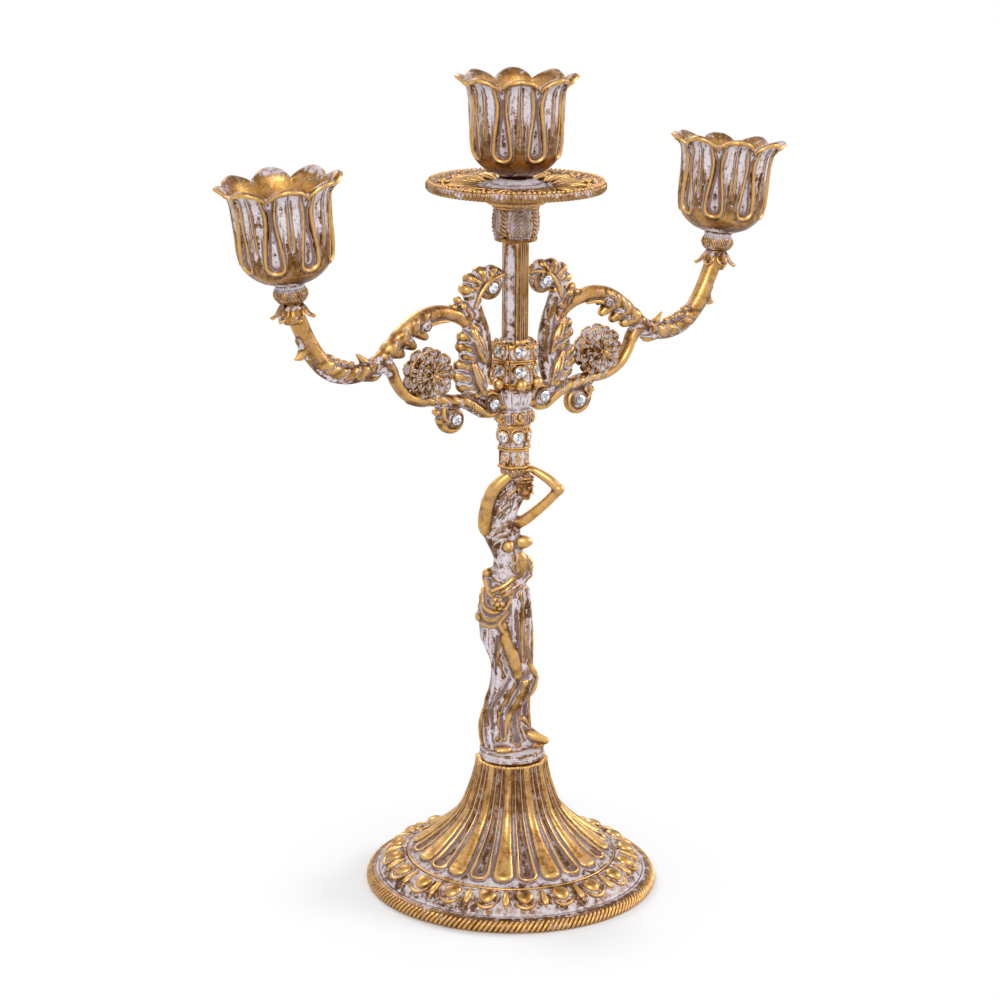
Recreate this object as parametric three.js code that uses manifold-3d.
// Three-light candelabrum with a draped figure for its stem: millimetres, +Z up, arms along X,
// the figure looking towards -Y, origin on the rest plane under the middle of the foot.
import * as THREE from 'three';
import { mergeVertices } from 'three/addons/utils/BufferGeometryUtils.js';
import Module from 'manifold-3d';

const wasm = await Module();
wasm.setup();

// ---- Driving dimensions ------------------------------------------------------------------

const seatGap = 0.3; // between a piece and the one it rests on
const holeClearance = 0.35; // round a rod, stud or peg in its hole

// Foot: a hollow round casting with an egg band and a fluted bell.
const footRadius = 71.4;
const footHeight = 63.7;
const footWall = 2.6;
const gadroonWidth = 5.6;
const gadroonHeight = 6.6;
const eggBandInnerRadius = 51.5;
const eggBandRise = 7.8;
const eggCount = 20;
const eggLength = 8.6;
const eggWidth = 8.5;
const eggRise = 2.1;
const eggTurn = THREE.MathUtils.degToRad(6.6);
const fluteCount = 24; // ribs and scoops, which take turns
const ribRise = 1.6;
const scoopLipRise = 0.8;
const scoopDepth = 0.9;
const fluteTurn = THREE.MathUtils.degToRad(-11);
const bellFootRadius = 50;
const neckRadius = 15.9;
const neckPlate = 4;

// Foot fastening: a stud in the plinth, with a washer and a nut inside the bell.
const studRadius = 2.5;
const footStudLength = 19;
const footStudInPlinth = 4;
const washerRadius = 8;
const washerThickness = 1.2;
const nutAcrossFlats = 8;
const nutHeight = 4;

// Figure: one casting with its plinth, drawn at its full height and scaled to it.
const plinthRadius = 15.9;
const plinthHeight = 5;
const figureHeight = 142;
const figureDrawnHeight = 142;
const figureBossDepth = 8;

// Stem pieces, from the figure up to the cup in the middle.
const stemAcross = 13;
const stemLength = 21;
const stemBandHeight = 9.5;
const stemStoneHeight = 14.3;
const hubHeight = 17.4;
const hubBottomRadius = 8.2;
const hubWaistRadius = 6.8;
const hubTopRadius = 9.2;
const hubWaistHeight = 7.4;
const lugFloorHeight = 7;
const collarAcross = 18.6;
const collarHeight = 21.4;
const ballRadius = 2.65;
const ballRing = 10;
const stonesPerRing = 6;
const stoneTurn = THREE.MathUtils.degToRad(10);
const shaftAcross = 11.9;
const shaftLength = 48.4;
const shaftTurn = THREE.MathUtils.degToRad(30);
const capitalHeight = 19;
const capitalRadius = 11.2;
const capitalFlangeRadius = 13.8;
const tieRodRadius = 2.5;

// Drip pan under the cup in the middle.
const panRadius = 42.2;
const panBossRadius = 10;
const panBossHeight = 3.6;
const panRimHeight = 5.2;
const panWall = 2.6;
const panConeRadius = 15;
const panRise = 11;

// Tulip cup: eight petals round a bowl with a flat seat.
const petalCount = 8;
const cupHeight = 47.5;
const cupSeatRadius = 7.2;
const cupBodyRadius = 20.6;
const cupRimRadius = 28.5;
const cupWall = 2;
const cupFloor = 2.6;
const petalCrease = 0.5;
const channelDepth = 1.5;
const notchDrop = 3;
const rimNotchDepth = 4.6;
const petalTurns = [13, 22.5, 16].map(THREE.MathUtils.degToRad); // middle, left, right

// Candle socket inside each tulip.
const candleRadius = 11;
const socketClearance = 0.4;
const socketWall = 1;
const socketDepth = 19;
const socketFloor = 5;
const socketFootRadius = 9.5;
const studInSocket = 3.6;

// Arms: one casting a side, hooked over the tie rod inside the hub and pegged to the shaft.
const armReach = 119.5;
const armRise = 53;
const armThickness = 7.6;
const lugHeight = 2.8;
const lugRadius = 5.2;
const lugWidth = 4.4;
const pegRadius = 1.3;
const pegInShaft = 1.6;
const pegAboveBranch = 12;
const rosetteRadius = 12.6;
const rosetteThickness = 3.4;
const rosettePinRadius = 1.6;
const eyeRadius = 6;
const eyeThickness = 2.6;

// Cup bearing at the end of an arm, leaning outwards with the cup.
const bearingOffset = 3.1;
const bearingRise = 1.4;
const cupLean = THREE.MathUtils.degToRad(6.44);
const calyxHeight = 9.6;
const calyxRadius = 5;
const ringHeight = 8.8;
const ringRadius = 7.3;
const cupStudRadius = 2;
const cupStudInArm = 6;

// Cut glass stones.
const stoneRadius = 2.7;
const stoneHeight = 1.9;
const stoneSides = 8;
const bezelRadius = 3;
const bezelHeight = 0.9;

// Roundness.
const roundSides = 24;
const fluteSides = 4; // faces across one rib or scoop
const footSides = fluteCount * fluteSides;
const petalSides = petalCount * 4;
const limbSides = 8;

// ---- Heights that follow from them --------------------------------------------------------

const plinthBottom = footHeight + seatGap;
const figureBottom = plinthBottom + plinthHeight;
const figureTop = figureBottom + figureHeight;
const stemBottom = figureTop + seatGap;
const hubBottom = stemBottom + stemLength + seatGap;
const hubTop = hubBottom + hubHeight;
const collarBottom = hubTop + seatGap;
const shaftBottom = collarBottom + collarHeight + seatGap;
const shaftTop = shaftBottom + shaftLength;
const capitalBottom = shaftTop + seatGap;
const panBottom = capitalBottom + capitalHeight + seatGap;
const panSeat = panBottom + panRise;
const centreCupBottom = panSeat + seatGap;
const socketBottom = cupFloor + seatGap;
const socketHeight = socketFloor + socketDepth;
const stemRodHole = tieRodRadius + holeClearance;
const armDatum = hubBottom + hubWaistHeight;

// ---- Solids ------------------------------------------------------------------------------

function signedVolume(geometry) {
  const p = geometry.attributes.position;
  const index = geometry.index;
  const a = new THREE.Vector3();
  const b = new THREE.Vector3();
  const c = new THREE.Vector3();
  let volume = 0;
  for (let i = 0; i < index.count; i += 3) {
    a.fromBufferAttribute(p, index.getX(i));
    b.fromBufferAttribute(p, index.getX(i + 1));
    c.fromBufferAttribute(p, index.getX(i + 2));
    volume += a.dot(b.cross(c)) / 6;
  }
  return volume;
}

// A closed geometry with shared corners and its faces pointing out.
function closed(geometry) {
  geometry.deleteAttribute('normal');
  geometry.deleteAttribute('uv');
  const merged = mergeVertices(geometry, 1e-4);
  if (signedVolume(merged) < 0) {
    const index = merged.index;
    for (let i = 0; i < index.count; i += 3) {
      const second = index.getX(i + 1);
      index.setX(i + 1, index.getX(i + 2));
      index.setX(i + 2, second);
    }
  }
  return merged;
}

function solidOf(geometry) {
  const shape = closed(geometry);
  const mesh = new wasm.Mesh({
    numProp: 3,
    vertProperties: new Float32Array(shape.attributes.position.array),
    triVerts: new Uint32Array(shape.index.array),
  });
  return new wasm.Manifold(mesh);
}

function geometryOf(solid) {
  const mesh = solid.getMesh();
  const geometry = new THREE.BufferGeometry();
  geometry.setAttribute('position', new THREE.BufferAttribute(new Float32Array(mesh.vertProperties), 3));
  geometry.setIndex(new THREE.BufferAttribute(new Uint32Array(mesh.triVerts), 1));
  return geometry;
}

function joined(...geometries) {
  return geometries.map(solidOf).reduce((whole, solid) => whole.add(solid));
}

function cut(solid, ...geometries) {
  return geometries.map(solidOf).reduce((whole, tool) => whole.subtract(tool), solid);
}

// ---- Basic shapes, all with their length along Z ----------------------------------------------

function rod(radius, bottom, top, sides = roundSides) {
  const shape = new THREE.CylinderGeometry(radius, radius, top - bottom, sides);
  return shape.rotateX(Math.PI / 2).translate(0, 0, (bottom + top) / 2);
}

function prism(across, sides, bottom, top, turn) {
  const radius = across / 2 / Math.cos(Math.PI / sides);
  return rod(radius, bottom, top, sides).rotateZ(turn + Math.PI / sides + Math.PI / 2);
}

// Profile points are [radius, height].
function turned(points, sides = roundSides) {
  const profile = points.map(([radius, height]) => new THREE.Vector2(radius, height));
  return new THREE.LatheGeometry(profile, sides).rotateX(Math.PI / 2);
}

function ball(x, y, z, rx, ry = rx, rz = rx, sides = 10) {
  return new THREE.SphereGeometry(1, sides, sides / 2 + 1).scale(rx, ry, rz).translate(x, y, z);
}

// One ring of points about Z, with a radius and a height that may change round it.
function ring(sides, radiusAt, heightAt) {
  return Array.from({ length: sides }, (unused, i) => {
    const angle = (2 * Math.PI * i) / sides;
    const radius = radiusAt(angle);
    return new THREE.Vector3(radius * Math.cos(angle), radius * Math.sin(angle), heightAt(angle));
  });
}

// Rings of points joined into a skin: a loop of rings closes on itself, and any other gets caps.
function skin(rings, loops = false) {
  const sides = rings[0].length;
  const points = rings.flat();
  const index = [];
  const spans = loops ? rings.length : rings.length - 1;
  for (let k = 0; k < spans; k += 1) {
    const low = k * sides;
    const high = ((k + 1) % rings.length) * sides;
    for (let i = 0; i < sides; i += 1) {
      const j = (i + 1) % sides;
      index.push(low + i, low + j, high + j, low + i, high + j, high + i);
    }
  }
  if (!loops) {
    for (const [first, flip] of [[0, true], [(rings.length - 1) * sides, false]]) {
      const middle = new THREE.Vector3();
      for (let i = 0; i < sides; i += 1) middle.addScaledVector(points[first + i], 1 / sides);
      points.push(middle);
      for (let i = 0; i < sides; i += 1) {
        const pair = [first + i, first + ((i + 1) % sides)];
        index.push(...(flip ? pair.reverse() : pair), points.length - 1);
      }
    }
  }
  const geometry = new THREE.BufferGeometry().setFromPoints(points);
  geometry.setIndex(index);
  return geometry;
}

// A tapered limb through points [x, y, z, half width, half depth]: the depth lies along `across`.
function limb(stations, steps, across = new THREE.Vector3(0, 1, 0)) {
  const path = new THREE.CatmullRomCurve3(stations.map(([x, y, z]) => new THREE.Vector3(x, y, z)));
  const rings = [];
  for (let k = 0; k <= steps; k += 1) {
    const t = k / steps;
    const place = t * (stations.length - 1);
    const before = Math.min(Math.floor(place), stations.length - 2);
    const share = place - before;
    const centre = path.getPoint(t);
    const tangent = path.getTangent(t);
    const deep = across.clone().addScaledVector(tangent, -across.dot(tangent)).normalize();
    const wide = new THREE.Vector3().crossVectors(deep, tangent);
    const halfWidth = THREE.MathUtils.lerp(stations[before][3], stations[before + 1][3], share);
    const halfDepth = THREE.MathUtils.lerp(stations[before][4], stations[before + 1][4], share);
    rings.push(Array.from({ length: limbSides }, (unused, i) => {
      const angle = (2 * Math.PI * (i + 0.5)) / limbSides;
      return centre.clone()
        .addScaledVector(wide, halfWidth * Math.cos(angle))
        .addScaledVector(deep, halfDepth * Math.sin(angle));
    }));
  }
  return skin(rings);
}

// ---- Foot ------------------------------------------------------------------------------------

// The bell's outer curve: shares of the way from the neck to its foot, and from the egg band to the top.
const bandTop = gadroonHeight + eggBandRise;
const bellCurve = new THREE.CatmullRomCurve3([
  [1, 0.02], [0.765, 0.126], [0.56, 0.235], [0.419, 0.325], [0.314, 0.41], [0.223, 0.507],
  [0.158, 0.621], [0.1, 0.742], [0.044, 0.884],
].map(([width, rise]) => new THREE.Vector3(
  THREE.MathUtils.lerp(neckRadius, bellFootRadius, width),
  THREE.MathUtils.lerp(bandTop, footHeight, rise),
  0,
)));

// The egg band: its slope lies between two shares of the band's rise.
const bandOuter = footRadius - gadroonWidth;
const bandMiddle = (bandOuter + eggBandInnerRadius) / 2;
const slopeHalfWidth = 3.4;
const slopeLow = gadroonHeight + 0.5 * eggBandRise;
const slopeHigh = gadroonHeight + 0.9 * eggBandRise;

// How far the bell stands out at a side: the middle of a rib or a scoop is side 0 of its faces.
function bellRelief(side) {
  const flute = Math.round(side / fluteSides);
  const fromMiddle = Math.abs(side - flute * fluteSides) / (fluteSides / 2);
  if (fromMiddle === 1) return 0;
  if (flute % 2) return fromMiddle > 0 ? scoopLipRise : -scoopDepth;
  return ribRise * Math.sqrt(1 - fromMiddle ** 2);
}

function footOuter() {
  const outline = [
    [footRadius - 1, 0], [footRadius, 1.6], [footRadius - 1.8, gadroonHeight - 1.4],
    [bandOuter, gadroonHeight], [bandMiddle + slopeHalfWidth, slopeLow],
    [bandMiddle - slopeHalfWidth, slopeHigh], [eggBandInnerRadius, bandTop],
  ].map(([radius, height]) => ring(footSides, () => radius, () => height));
  for (const t of [0, 0.05, 0.14, 0.28, 0.43, 0.58, 0.74, 0.9, 1]) {
    const at = bellCurve.getPoint(t);
    const along = bellCurve.getTangent(t);
    const share = t > 0 ? THREE.MathUtils.lerp(1, 0.5, t) : 0;
    const out = (angle) => share * bellRelief(Math.round((angle * footSides) / (2 * Math.PI)));
    const radius = (angle) => at.x + along.y * out(angle);
    const height = (angle) => at.y - along.x * out(angle);
    outline.push(ring(footSides, radius, height));
  }
  outline.push(ring(footSides, () => neckRadius, () => footHeight - 1));
  outline.push(ring(footSides, () => neckRadius, () => footHeight));
  return outline;
}

// One egg of the band, on its slope.
function egg(angle) {
  const tilt = Math.atan2(slopeHigh - slopeLow, 2 * slopeHalfWidth);
  return ball(0, 0, 0, eggLength / 2, eggWidth / 2, eggRise, 8)
    .rotateY(tilt)
    .translate(bandMiddle, 0, (slopeLow + slopeHigh) / 2)
    .rotateZ(angle);
}

function footHollow() {
  const innerWall = footWall + scoopDepth;
  const plateBottom = footHeight - neckPlate;
  const levels = [[0, plateBottom], [neckRadius - footWall, plateBottom]];
  for (const t of [0.86, 0.62, 0.4, 0.2, 0.04]) {
    const at = bellCurve.getPoint(t);
    levels.push([at.x - innerWall * 0.7, at.y - innerWall * 0.8]);
  }
  levels.push([footRadius - gadroonWidth - 1, gadroonHeight - footWall], [footRadius - 5, -1], [0, -1]);
  return turned(levels);
}

function baseFoot() {
  const hole = rod(studRadius + holeClearance, footHeight - neckPlate - 1, footHeight + 1, 12);
  const eggs = Array.from({ length: eggCount }, (unused, i) => egg(eggTurn + (2 * Math.PI * i) / eggCount));
  const whole = joined(skin(footOuter()).rotateZ(fluteTurn), ...eggs);
  return geometryOf(cut(whole, footHollow().rotateZ(fluteTurn), hole));
}

function footStud() {
  const top = plinthBottom + footStudInPlinth;
  return rod(studRadius, top - footStudLength, top, 12);
}

const washerTop = footHeight - neckPlate - seatGap;

function footWasher() {
  const hole = studRadius + holeClearance;
  const bottom = washerTop - washerThickness;
  return turned([[hole, bottom], [washerRadius, bottom], [washerRadius, washerTop], [hole, washerTop],
    [hole, bottom]], 16);
}

function footNut() {
  const top = washerTop - washerThickness - seatGap;
  const body = solidOf(prism(nutAcrossFlats, 6, top - nutHeight, top, 0));
  return geometryOf(cut(body, rod(studRadius + holeClearance, top - nutHeight - 1, top + 1, 12)));
}

// ---- Figure ----------------------------------------------------------------------------------

// Body sections: height above the plinth, middle x and y, half widths x and y, depth of the folds.
const bodySections = [
  [0, -1.4, 1.2, 12.6, 12.8, 0.7], [5, -2, 1.8, 12.6, 12.4, 0.8], [11, -3.2, 2.4, 12.4, 11.6, 0.8],
  [17, -3.8, 2.6, 10.6, 9.6, 0.8], [23, -2.8, 2.2, 9.6, 9, 0.8], [30, -1.6, 0.6, 10.6, 10.6, 0.8],
  [36, -0.8, -0.8, 11, 11, 0.8], [43, -1.6, -0.6, 10.2, 9.8, 0.7], [50, -3, 0.6, 11.4, 10.4, 0.7],
  [57, -3.8, 1.4, 12.8, 11.2, 0.7], [66, -4, 2, 13.6, 11.4, 0.7], [74, -3.8, 1.8, 13.2, 11.2, 0.7],
  [82, -3.2, 1.6, 12, 10.4, 0.6], [88, -2.6, 1.2, 11.6, 9.8, 0.4], [92, -1.6, 0.8, 10.2, 8.6, 0.2],
  [95, -1.4, 0.8, 8.2, 6.4, 0], [99, -2, 1, 8.2, 6.2, 0], [103, -2.6, 1.2, 9.2, 6.6, 0],
  [108, -3.6, 1.6, 10.4, 6.8, 0], [112, -4.4, 1.6, 10.4, 6.2, 0], [115, -4, 1, 7.4, 5, 0],
  [118, -1.4, 0, 4.4, 4, 0], [122, 0.2, -1, 3.6, 3.7, 0], [126, 1.6, -1.6, 4, 4.4, 0],
];

function figureBody() {
  const sides = 16;
  const folds = 5;
  const rings = bodySections.map(([height, x, y, halfX, halfY, fold]) => {
    return Array.from({ length: sides }, (unused, i) => {
      const angle = (2 * Math.PI * i) / sides;
      const push = 1 + (fold * Math.cos(folds * angle + height * 0.05)) / halfX;
      return new THREE.Vector3(x + halfX * push * Math.cos(angle), y + halfY * push * Math.sin(angle), height);
    });
  });
  return skin(rings);
}

function figureArm(side, shoulder, elbow, wrist) {
  const middle = shoulder.map((value, i) => (value + elbow[i]) / 2);
  const forearm = elbow.map((value, i) => (value + wrist[i]) / 2);
  return limb([
    [...shoulder, 3.6, 3.6], [...middle, 3.1, 3.1], [...elbow, 2.6, 2.6], [...forearm, 2.5, 2.5],
    [...wrist, 2, 2], [-1.5 * side, -1.4, 140, 2, 2.4],
  ], 8, new THREE.Vector3(side, 0.6, 0));
}

// The head leans to the figure's left; the hair is bound up, and the boss on it bears the stem.
function figureHead() {
  return [
    ball(3, -2.8, 131, 5.2, 6, 7.2),
    ball(3.6, 1.6, 132.4, 5.6, 4.8, 5.2),
    ball(-2.6, 0.6, 122.6, 4.6, 4, 7),
    limb([[3.4, -2.2, 127, 5, 5], [1.6, -1, 133, 5.6, 5.6], [0.4, -0.2, 139, 5.4, 5.4],
      [0, 0, figureDrawnHeight, 5.6, 5.6]], 4, new THREE.Vector3(0, 1, 0)),
  ];
}

function figureDrapery() {
  return [
    limb([[9, -1, 91, 2, 2], [3, -8.6, 88.6, 2.2, 2], [-6, -8.4, 84.6, 2.2, 2], [-14.6, -1, 85, 2, 2]], 6,
      new THREE.Vector3(0, 0, 1)),
    ball(-9.4, -6.6, 77, 4.2, 4, 4.8),
    ball(2.6, -9, 43, 4.4, 4.2, 6),
    limb([[7, -6, 44, 2, 2], [9.2, -7.4, 36.4, 1.6, 1.8], [5.6, -6.6, 26, 2, 2]], 4),
    limb([[7.6, -7, 9, 3.2, 2.6], [10.4, -11, 5, 2.6, 2.2], [12.6, -14.4, 3, 1.4, 1.2]], 4),
    limb([[-3, -9, 5, 2.6, 2.4], [-3.4, -12.4, 2.4, 2.2, 1.8], [-3.6, -14.6, 1.4, 1.2, 1]], 4),
  ];
}

function caryatidFigure() {
  const bust = [[-7.2, -4.8], [1.4, -5]].map(([x, y]) => ball(x, y, 103.6, 3.7, 4.1, 3.7, 8));
  const scale = figureHeight / figureDrawnHeight;
  const sculpt = [
    figureBody(),
    ...figureDrapery(),
    ...bust,
    figureArm(-1, [-11.8, 1.4, 112], [-19.2, -9.6, 127.4], [-7, -3.6, 138]),
    figureArm(1, [3.4, 0.6, 113], [19.6, -9.8, 130.6], [7, -3.4, 138]),
    ...figureHead(),
  ].map((shape) => shape.scale(scale, scale, scale).translate(0, 0, figureBottom));
  const whole = joined(rod(plinthRadius, plinthBottom, figureBottom + 0.6), ...sculpt);
  const trimmed = cut(whole, rod(40, figureTop, figureTop + 30));
  return geometryOf(cut(
    trimmed,
    rod(stemRodHole, figureTop - figureBossDepth, figureTop + 1, 12),
    rod(studRadius + holeClearance, plinthBottom - 1, plinthBottom + footStudInPlinth + holeClearance, 12),
  ));
}

// ---- Stem pieces -----------------------------------------------------------------------------

// Places round a six-sided piece: the middle of each flat.
function flats() {
  return Array.from({ length: stonesPerRing }, (unused, i) => stoneTurn + (2 * Math.PI * i) / stonesPerRing);
}

// A shape drawn looking along -Z from its face, set on a flat that faces `angle`, `out` from the axis.
function onFlat(shape, angle, out, height) {
  return shape.rotateY(Math.PI / 2).translate(out, 0, height).rotateZ(angle);
}

function bezel(angle, out, height) {
  return onFlat(rod(bezelRadius, -1, bezelHeight, stoneSides), angle, out, height);
}

function lowerStem() {
  const band = stemBottom + stemBandHeight;
  const bodyParts = [
    prism(stemAcross, 6, stemBottom, stemBottom + stemLength, stoneTurn),
    prism(stemAcross + 1.6, 6, stemBottom + stemLength - 2, stemBottom + stemLength, stoneTurn),
    prism(stemAcross + 1.2, 6, band - 0.7, band + 0.7, stoneTurn),
    ...flats().map((angle) => bezel(angle, stemAcross / 2, stemBottom + stemStoneHeight)),
  ];
  const bore = rod(stemRodHole, stemBottom - 1, stemBottom + stemLength + 1, 12);
  return geometryOf(cut(joined(...bodyParts), bore));
}

// The lugs of both arms lie on each other inside the hub, which is slotted for their necks.
const lugFloor = hubBottom + lugFloorHeight;
const lowerLug = lugFloor + seatGap;
const upperLug = lowerLug + lugHeight + seatGap;

function armHub() {
  const profile = [
    [0, hubBottom], [hubBottomRadius, hubBottom], [hubBottomRadius + 0.6, hubBottom + 3],
    [hubBottomRadius, hubBottom + hubWaistHeight - 1.4], [hubWaistRadius, hubBottom + hubWaistHeight],
    [hubTopRadius, hubTop - 2.4], [hubTopRadius, hubTop], [0, hubTop],
  ];
  const slot = (side, bottom) => {
    const shape = new THREE.BoxGeometry(hubTopRadius + 4, lugWidth + 2 * holeClearance, hubTop + 1 - bottom);
    return shape.translate((side * (hubTopRadius + 4)) / 2, 0, (hubTop + 1 + bottom) / 2);
  };
  return geometryOf(cut(
    solidOf(turned(profile)),
    rod(stemRodHole, hubBottom - 1, hubTop + 1, 12),
    rod(lugRadius + holeClearance, lugFloor, hubTop + 1),
    slot(-1, lugFloor),
    slot(1, upperLug - seatGap),
  ));
}

const collarRows = [0.36, 0.82];
const collarBand = 0.6;

function stoneCollar() {
  const top = collarBottom + collarHeight;
  const bandHeight = collarBottom + collarHeight * collarBand;
  const parts = [
    prism(collarAcross, 6, collarBottom, top, stoneTurn),
    prism(collarAcross + 1, 6, bandHeight - 0.5, bandHeight + 0.5, stoneTurn),
    ...flats().flatMap((angle) => [
      ...collarRows.map((share) => bezel(angle, collarAcross / 2, collarBottom + collarHeight * share)),
      ball(ballRing, 0, collarBottom + ballRadius * 0.62, ballRadius, ballRadius, ballRadius, 8).rotateZ(angle),
    ]),
  ];
  const whole = cut(joined(...parts), rod(40, collarBottom - 10, collarBottom));
  return geometryOf(cut(whole, rod(stemRodHole, collarBottom - 1, top + 1, 12)));
}

const pegHeight = armDatum + armRise + pegAboveBranch;

function shaft() {
  const whole = joined(
    prism(shaftAcross, 6, shaftBottom, shaftTop, shaftTurn),
    prism(shaftAcross + 1.4, 6, shaftBottom, shaftBottom + 1.6, shaftTurn),
  );
  const pegHole = rod(pegRadius + holeClearance, -40, 40, 10).rotateY(Math.PI / 2).translate(0, 0, pegHeight);
  return geometryOf(cut(whole, rod(stemRodHole, shaftBottom - 1, shaftTop + 1, 12), pegHole));
}

function capital() {
  const top = capitalBottom + capitalHeight;
  const profile = [
    [stemRodHole, capitalBottom], [capitalRadius - 1, capitalBottom],
    [capitalRadius - 0.6, capitalBottom + 2], [capitalRadius - 1.6, capitalBottom + 2.4],
    [capitalRadius, capitalBottom + 6], [capitalRadius, capitalBottom + 11],
    [capitalRadius - 1, capitalBottom + 15.4], [capitalFlangeRadius - 1, capitalBottom + 16],
    [capitalFlangeRadius, top - 1.6], [capitalFlangeRadius, top], [stemRodHole, top],
    [stemRodHole, capitalBottom],
  ];
  return turned(profile);
}

function dripPan() {
  const rimBottom = panBottom + panBossHeight;
  const dish = rimBottom + panWall;
  return turned([
    [stemRodHole, panBottom], [panBossRadius, panBottom], [panBossRadius + 1, rimBottom],
    [panRadius - 4, rimBottom + 0.4], [panRadius, rimBottom + 2], [panRadius, rimBottom + panRimHeight - 1],
    [panRadius - 1.4, rimBottom + panRimHeight], [panRadius - 4.4, rimBottom + panRimHeight - 0.6],
    [panRadius - 5, dish], [panConeRadius, dish], [cupSeatRadius + 1.4, panSeat - 0.8],
    [cupSeatRadius, panSeat], [stemRodHole, panSeat], [stemRodHole, panBottom],
  ], 30);
}

// ---- Cups: drawn on their own axis, with the seat at height 0 -------------------------------------

// Petal waves: 1 on the middle of a petal, 0 at the channel between two.
function petalWave(angle) {
  return 0.5 + 0.5 * Math.cos(petalCount * angle);
}

function petalTip(angle) {
  return Math.abs(Math.cos((petalCount * angle) / 2)) ** 0.5;
}

function tulipCup(holeRadius, turn) {
  const crease = (angle) => (petalWave(angle) > 0.99 ? petalCrease : 0);
  const wall = (radius, share, height) => ring(
    petalSides,
    (angle) => radius - share * (channelDepth * (1 - petalWave(angle)) ** 2 + crease(angle)),
    () => height,
  );
  const lip = (radius, notch, height, drop) => ring(
    petalSides,
    (angle) => radius - notch * (1 - petalTip(angle)),
    (angle) => height - drop * (1 - petalTip(angle)),
  );
  const plain = (radius, height) => ring(petalSides, () => radius, () => height);
  const outer = [
    plain(holeRadius, 0), plain(cupSeatRadius, 0), plain(12, 1.4), wall(16.8, 0.4, 5),
    wall(cupBodyRadius - 1.1, 1, 9.8), wall(cupBodyRadius, 1, 17),
    wall(cupBodyRadius + 0.8, 1, cupHeight - 9), lip(cupBodyRadius + 3.4, 1.8, cupHeight - 4.6, 1),
    lip(cupRimRadius, rimNotchDepth, cupHeight - 1.6, notchDrop),
    lip(cupRimRadius - 0.2, rimNotchDepth, cupHeight, notchDrop),
  ];
  const inner = [
    lip(cupRimRadius - 3.4, rimNotchDepth - 1.6, cupHeight + 0.2, notchDrop),
    lip(cupBodyRadius + 0.6, 0.4, cupHeight - 4, 1.4),
    plain(cupBodyRadius - cupWall - 1.2, cupHeight - 10), plain(cupBodyRadius - cupWall - 1.7, 14),
    plain(14.6, 6.6), plain(socketFootRadius + 1.6, cupFloor), plain(holeRadius, cupFloor),
  ];
  return skin([...outer, ...inner], true).rotateZ(turn);
}

function candleSocket(holeRadius, threadDepth) {
  const bore = candleRadius + socketClearance;
  const outside = bore + socketWall;
  const top = socketBottom + socketHeight;
  const throat = socketBottom + socketFloor;
  return turned([
    [0, throat], [0, socketBottom + threadDepth + seatGap], [holeRadius, socketBottom + threadDepth + seatGap],
    [holeRadius, socketBottom], [socketFootRadius, socketBottom], [socketFootRadius, socketBottom + 1.6],
    [7, socketBottom + 2.4], [outside, throat], [outside, top - 1.4], [outside + 0.7, top - 0.9],
    [outside + 0.7, top], [bore, top], [bore, throat], [0, throat],
  ], 16);
}

// ---- Arms: drawn for the side of +X, at a reach and rise of their own ------------------------------

const armDrawnReach = 119.5;
const armDrawnRise = 53;
const armDrawnThickness = 7.6;
const reachScale = armReach / armDrawnReach;
const riseScale = armRise / armDrawnRise;
const girthScale = armThickness / armDrawnThickness;

// Points [x, height above the datum, half width, half depth] as limb stations.
function armStations(points) {
  return points.map(([x, height, width, depth]) => [
    x * reachScale, 0, armDatum + height * riseScale, width * girthScale, depth * girthScale,
  ]);
}

function curl(x, height, startRadius, endRadius, startAngle, turns, thick) {
  const count = 7;
  return Array.from({ length: count }, (unused, i) => {
    const share = i / (count - 1);
    const radius = startRadius + (endRadius - startRadius) * share;
    const angle = startAngle + turns * 2 * Math.PI * share;
    const width = thick * (1 - 0.3 * share);
    return [x + radius * Math.cos(angle), height + radius * Math.sin(angle), width, 3.2];
  });
}

// Middles of the stones, [x, height above the datum].
const scrollStones = [[15.8, 60.2], [14.9, 4.4], [36.6, -0.4]];
const rosetteCentre = [49.8, 22.2];
const branchTop = [armDrawnReach, armDrawnRise];

function branchLimb() {
  return limb(armStations([
    [branchTop[0], branchTop[1], 4, 4], [116.4, 47, 4.4, 4.2], [112.6, 39.4, 4.6, 4.3], [106, 32.4, 4.6, 4.2],
    [98, 28.6, 4.2, 4.1], [89, 28.4, 4, 4], [80, 31, 4, 4], [72, 37, 4.4, 4], [64, 43.6, 4.6, 3.9],
    [55, 48.6, 4.2, 3.8], [45.6, 50.2, 3.8, 3.7], [37, 48.6, 3.8, 3.6], [29, 44, 4, 3.4], [24, 37, 3.6, 3.2],
  ]), 19);
}

function loopLimb() {
  return limb(armStations([
    [76, 32, 3, 3.4], [70.4, 27, 3.4, 3.6], [67.4, 20, 3.6, 3.6], [62.4, 14, 3.4, 3.4], [55, 11.2, 3, 3.2],
    [46.4, 10.4, 2.8, 3], [38, 9, 2.8, 3], [29, 7.4, 3, 3], [23, 2.8, 2.6, 3],
  ]), 10);
}

function leafPlate() {
  const edge = [
    [20.6, 7], [17.4, 17], [15.8, 27], [16.2, 36], [18.4, 46], [20.4, 55], [19, 62], [24, 65.6], [29, 62.6],
    [31, 58], [27.4, 55.4], [31.4, 52.4], [28, 49.6], [32.4, 44], [29.6, 41], [34.6, 38.6], [30.6, 33.6],
    [35.8, 28], [31.4, 23.6], [33.4, 18], [28.4, 15.4], [27, 10],
  ];
  const outline = edge.map(([x, height]) => new THREE.Vector2(x * reachScale, height * riseScale));
  const thickness = armThickness * 0.62;
  const plate = new THREE.ExtrudeGeometry(new THREE.Shape(outline), { depth: thickness, bevelEnabled: false });
  return plate.rotateX(Math.PI / 2).translate(0, thickness / 2, armDatum);
}

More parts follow.
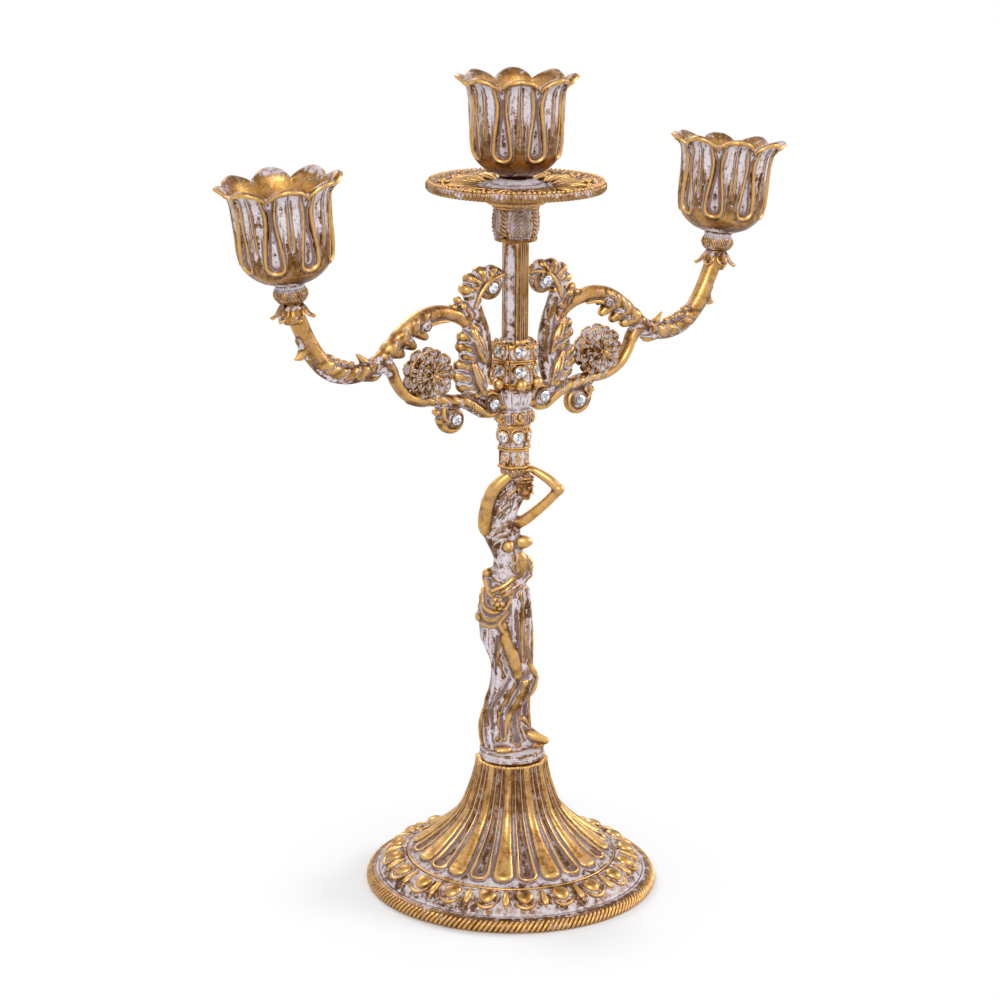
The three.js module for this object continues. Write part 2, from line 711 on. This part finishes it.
function curlLimbs() {
  const [top, inner, outer] = scrollStones;
  return [
    limb(armStations([[27.4, 60.6, 3.2, 3.2], [23, 65.4, 2.8, 3.2],
      ...curl(top[0], top[1], 6.4, 3, 0.44 * Math.PI, 0.86, 2.4)]), 9),
    limb(armStations([[29, 5.6, 2.8, 3], [22.6, -2.2, 2.6, 3.2],
      ...curl(inner[0], inner[1], 6, 2.8, -0.42 * Math.PI, -0.86, 2.4)]), 9),
    limb(armStations([[35, 9.6, 2.8, 3], ...curl(outer[0], outer[1], 5.2, 2.6, 0.66 * Math.PI, 0.86, 2.3)]), 8),
  ];
}

// Discs in the eyes of the curls that carry a stone on each face.
function stoneSeats() {
  const half = armThickness / 2;
  return scrollStones.map(([x, height]) => rod(bezelRadius, -half, half, stoneSides)
    .rotateX(Math.PI / 2).translate(x * reachScale, 0, armDatum + height * riseScale));
}

function rosetteEye() {
  const [x, height] = rosetteCentre;
  const centre = [x * reachScale, armDatum + height * riseScale];
  const disc = rod(eyeRadius, -eyeThickness / 2, eyeThickness / 2, 12).rotateX(Math.PI / 2);
  const stalk = [[x, height - 3, 3.4, 1.3], [x + 2, height - 8, 3.4, 2], [x + 3, 11.4, 3, 2.8]];
  const neck = limb(armStations(stalk), 4);
  return [disc.translate(centre[0], 0, centre[1]), neck];
}

function rosettePlace(side) {
  const [x, height] = rosetteCentre;
  return [side * x * reachScale, armDatum + height * riseScale];
}

// The lug round the tie rod, and the neck that leads to it from the inner curl.
function armLug(bottom) {
  const middle = bottom + lugHeight / 2;
  const reach = scrollStones[1][0] * reachScale - 2;
  const neck = new THREE.BoxGeometry(reach, lugWidth, lugHeight).translate(reach / 2, 0, middle);
  return [rod(lugRadius, bottom, bottom + lugHeight, 16), neck];
}

function shaftPeg() {
  const start = shaftAcross / 2 - pegInShaft;
  const end = scrollStones[0][0] * reachScale;
  return rod(pegRadius, start, end, 8).rotateY(Math.PI / 2).translate(0, 0, pegHeight);
}

// Cup bearings stand on an axis that leans outwards from the top of the branch.
const bearingX = armReach + bearingOffset;
const bearingZ = armDatum + armRise + bearingRise;

function leaned(shape, side) {
  return shape.rotateY(cupLean).translate(bearingX, 0, bearingZ).scale(side, 1, 1);
}

function calyx() {
  const petals = 8;
  const wave = (radius, depth) => (angle) => radius - depth * (0.5 - 0.5 * Math.cos(petals * angle));
  const rings = [
    ring(16, () => 3.6, () => -2.6), ring(16, () => 4.4, () => 0), ring(16, wave(8.6, 3.4), () => 1.2),
    ring(16, wave(8.2, 3), () => 2.4), ring(16, () => calyxRadius + 0.6, () => calyxHeight - 3.4),
    ring(16, () => 3.8, () => calyxHeight - 1.6), ring(16, () => calyxRadius, () => calyxHeight - 1),
    ring(16, () => calyxRadius, () => calyxHeight),
  ];
  return skin(rings);
}

const studHole = cupStudRadius + holeClearance;

function arm(side) {
  const lugBottom = side < 0 ? lowerLug : upperLug;
  const parts = [
    branchLimb(), loopLimb(), leafPlate(), ...curlLimbs(), ...stoneSeats(), ...rosetteEye(),
    ...armLug(lugBottom), shaftPeg(), leaned(calyx(), 1),
  ];
  const whole = cut(
    joined(...parts),
    rod(stemRodHole, lugBottom - 1, lugBottom + lugHeight + 1, 12),
    leaned(rod(studHole, calyxHeight - cupStudInArm, calyxHeight + 1, 12), 1),
  );
  const [x, z] = rosettePlace(1);
  const seat = rosetteRadius + seatGap;
  const pinned = cut(whole, ...[
    rod(rosettePinRadius + holeClearance, -20, 20, 10),
    rod(seat, eyeThickness / 2, 20, 20),
    rod(seat, -20, -eyeThickness / 2, 20),
  ].map((tool) => tool.rotateX(Math.PI / 2).translate(x, 0, z)));
  return geometryOf(pinned).scale(side, 1, 1);
}

// A two-faced rosette: its halves lie on both faces of the eye, on one pin through it.
function rosette(side) {
  const petals = 8;
  const sides = petals * 2;
  const face = eyeThickness / 2 + seatGap;
  const wave = (radius, depth) => (angle) => radius - depth * (0.5 - 0.5 * Math.cos(petals * angle));
  const half = () => skin([
    ring(sides, wave(rosetteRadius - 1, 1.6), () => face),
    ring(sides, wave(rosetteRadius, 1.8), () => face + 1.2),
    ring(sides, wave(rosetteRadius * 0.74, 1.2), () => face + rosetteThickness * 0.62),
    ring(sides, wave(rosetteRadius * 0.62, 0.8), () => face + rosetteThickness),
    ring(sides, () => rosetteRadius * 0.26, () => face + rosetteThickness * 0.8),
    ring(sides, () => rosetteRadius * 0.18, () => face + rosetteThickness + 1.2),
  ]);
  const reach = face + 0.8;
  const whole = joined(half(), half().rotateX(Math.PI), rod(rosettePinRadius, -reach, reach, 8));
  const [x, z] = rosettePlace(side);
  return geometryOf(whole).rotateX(Math.PI / 2).translate(x, 0, z);
}

function cupRing(side) {
  const bottom = calyxHeight + seatGap;
  const top = bottom + ringHeight;
  return leaned(turned([
    [studHole, bottom], [4.8, bottom], [5.2, bottom + 1.4], [ringRadius, bottom + 2.6],
    [ringRadius, top - 2], [cupSeatRadius - 0.6, top], [studHole, top], [studHole, bottom],
  ], 16), side);
}

const sideCupSeat = calyxHeight + ringHeight + 2 * seatGap;

function cupStud(side) {
  const bottom = calyxHeight - cupStudInArm + seatGap;
  const top = sideCupSeat + socketBottom + studInSocket;
  return leaned(rod(cupStudRadius, bottom, top, 12), side);
}

// ---- Stones ----------------------------------------------------------------------------------

function stone() {
  return skin([
    ring(stoneSides, () => stoneRadius, () => 0),
    ring(stoneSides, () => stoneRadius * 0.6, () => stoneHeight),
  ]);
}

function stoneOnFlat(angle, across, height) {
  return onFlat(stone(), angle, across / 2 + bezelHeight + seatGap, height);
}

function stoneOnScroll(side, [x, height], face) {
  const out = armThickness / 2 + seatGap;
  return stone().rotateX((face * Math.PI) / 2).translate(0, -face * out, 0)
    .translate(side * x * reachScale, 0, armDatum + height * riseScale);
}

// ---- Assembly --------------------------------------------------------------------------------

const finishes = {
  gold: new THREE.MeshStandardMaterial({ color: 0xb08a45, roughness: 0.45, metalness: 0.85 }),
  patina: new THREE.MeshStandardMaterial({ color: 0xc9b9b0, roughness: 0.6, metalness: 0.4 }),
  brass: new THREE.MeshStandardMaterial({ color: 0xb5853f, roughness: 0.4, metalness: 0.9 }),
  steel: new THREE.MeshStandardMaterial({ color: 0x8b8b8b, roughness: 0.45, metalness: 0.9 }),
  glass: new THREE.MeshStandardMaterial({ color: 0xdfe4ea, roughness: 0.08, metalness: 0.1 }),
};

const candelabrum = new THREE.Group();

function piece(name, geometry, finish) {
  const mesh = new THREE.Mesh(closed(geometry), finishes[finish].clone());
  mesh.name = name;
  candelabrum.add(mesh);
  return mesh;
}

piece('base_foot', baseFoot(), 'gold');
piece('foot_stud', footStud(), 'steel');
piece('foot_washer', footWasher(), 'steel');
piece('foot_nut', footNut(), 'steel');
piece('caryatid_figure', caryatidFigure(), 'gold');
piece('lower_stem', lowerStem(), 'gold');
piece('arm_hub', armHub(), 'patina');
piece('stone_collar', stoneCollar(), 'gold');
piece('shaft', shaft(), 'patina');
piece('capital', capital(), 'gold');
piece('drip_pan', dripPan(), 'gold');

const centreHole = tieRodRadius + holeClearance;
const tieRodTop = centreCupBottom + socketBottom + studInSocket;
piece('tie_rod', rod(tieRodRadius, figureTop - figureBossDepth + seatGap, tieRodTop, 12), 'steel');
piece('centre_tulip', tulipCup(centreHole, petalTurns[0]).translate(0, 0, centreCupBottom), 'gold');
piece('centre_candle_socket', candleSocket(centreHole, studInSocket).translate(0, 0, centreCupBottom), 'brass');

for (const [side, name, turn] of [[-1, 'left', petalTurns[1]], [1, 'right', petalTurns[2]]]) {
  piece(`${name}_arm`, arm(side), 'gold');
  piece(`${name}_rosette`, rosette(side), 'patina');
  piece(`${name}_cup_ring`, cupRing(side), 'gold');
  piece(`${name}_cup_stud`, cupStud(side), 'steel');
  piece(`${name}_tulip`, leaned(tulipCup(studHole, turn).translate(0, 0, sideCupSeat), side), 'gold');
  piece(`${name}_candle_socket`, leaned(candleSocket(studHole, studInSocket).translate(0, 0, sideCupSeat), side),
    'brass');
  scrollStones.forEach((place, i) => {
    piece(`${name}_scroll_stone_front_${i + 1}`, stoneOnScroll(side, place, 1), 'glass');
    piece(`${name}_scroll_stone_back_${i + 1}`, stoneOnScroll(side, place, -1), 'glass');
  });
}

flats().forEach((angle, i) => {
  const height = stemBottom + stemStoneHeight;
  piece(`stem_stone_${i + 1}`, stoneOnFlat(angle, stemAcross, height), 'glass');
  ['lower', 'upper'].forEach((row, k) => {
    const level = collarBottom + collarHeight * collarRows[k];
    piece(`collar_stone_${row}_${i + 1}`, stoneOnFlat(angle, collarAcross, level), 'glass');
  });
});

export default candelabrum;
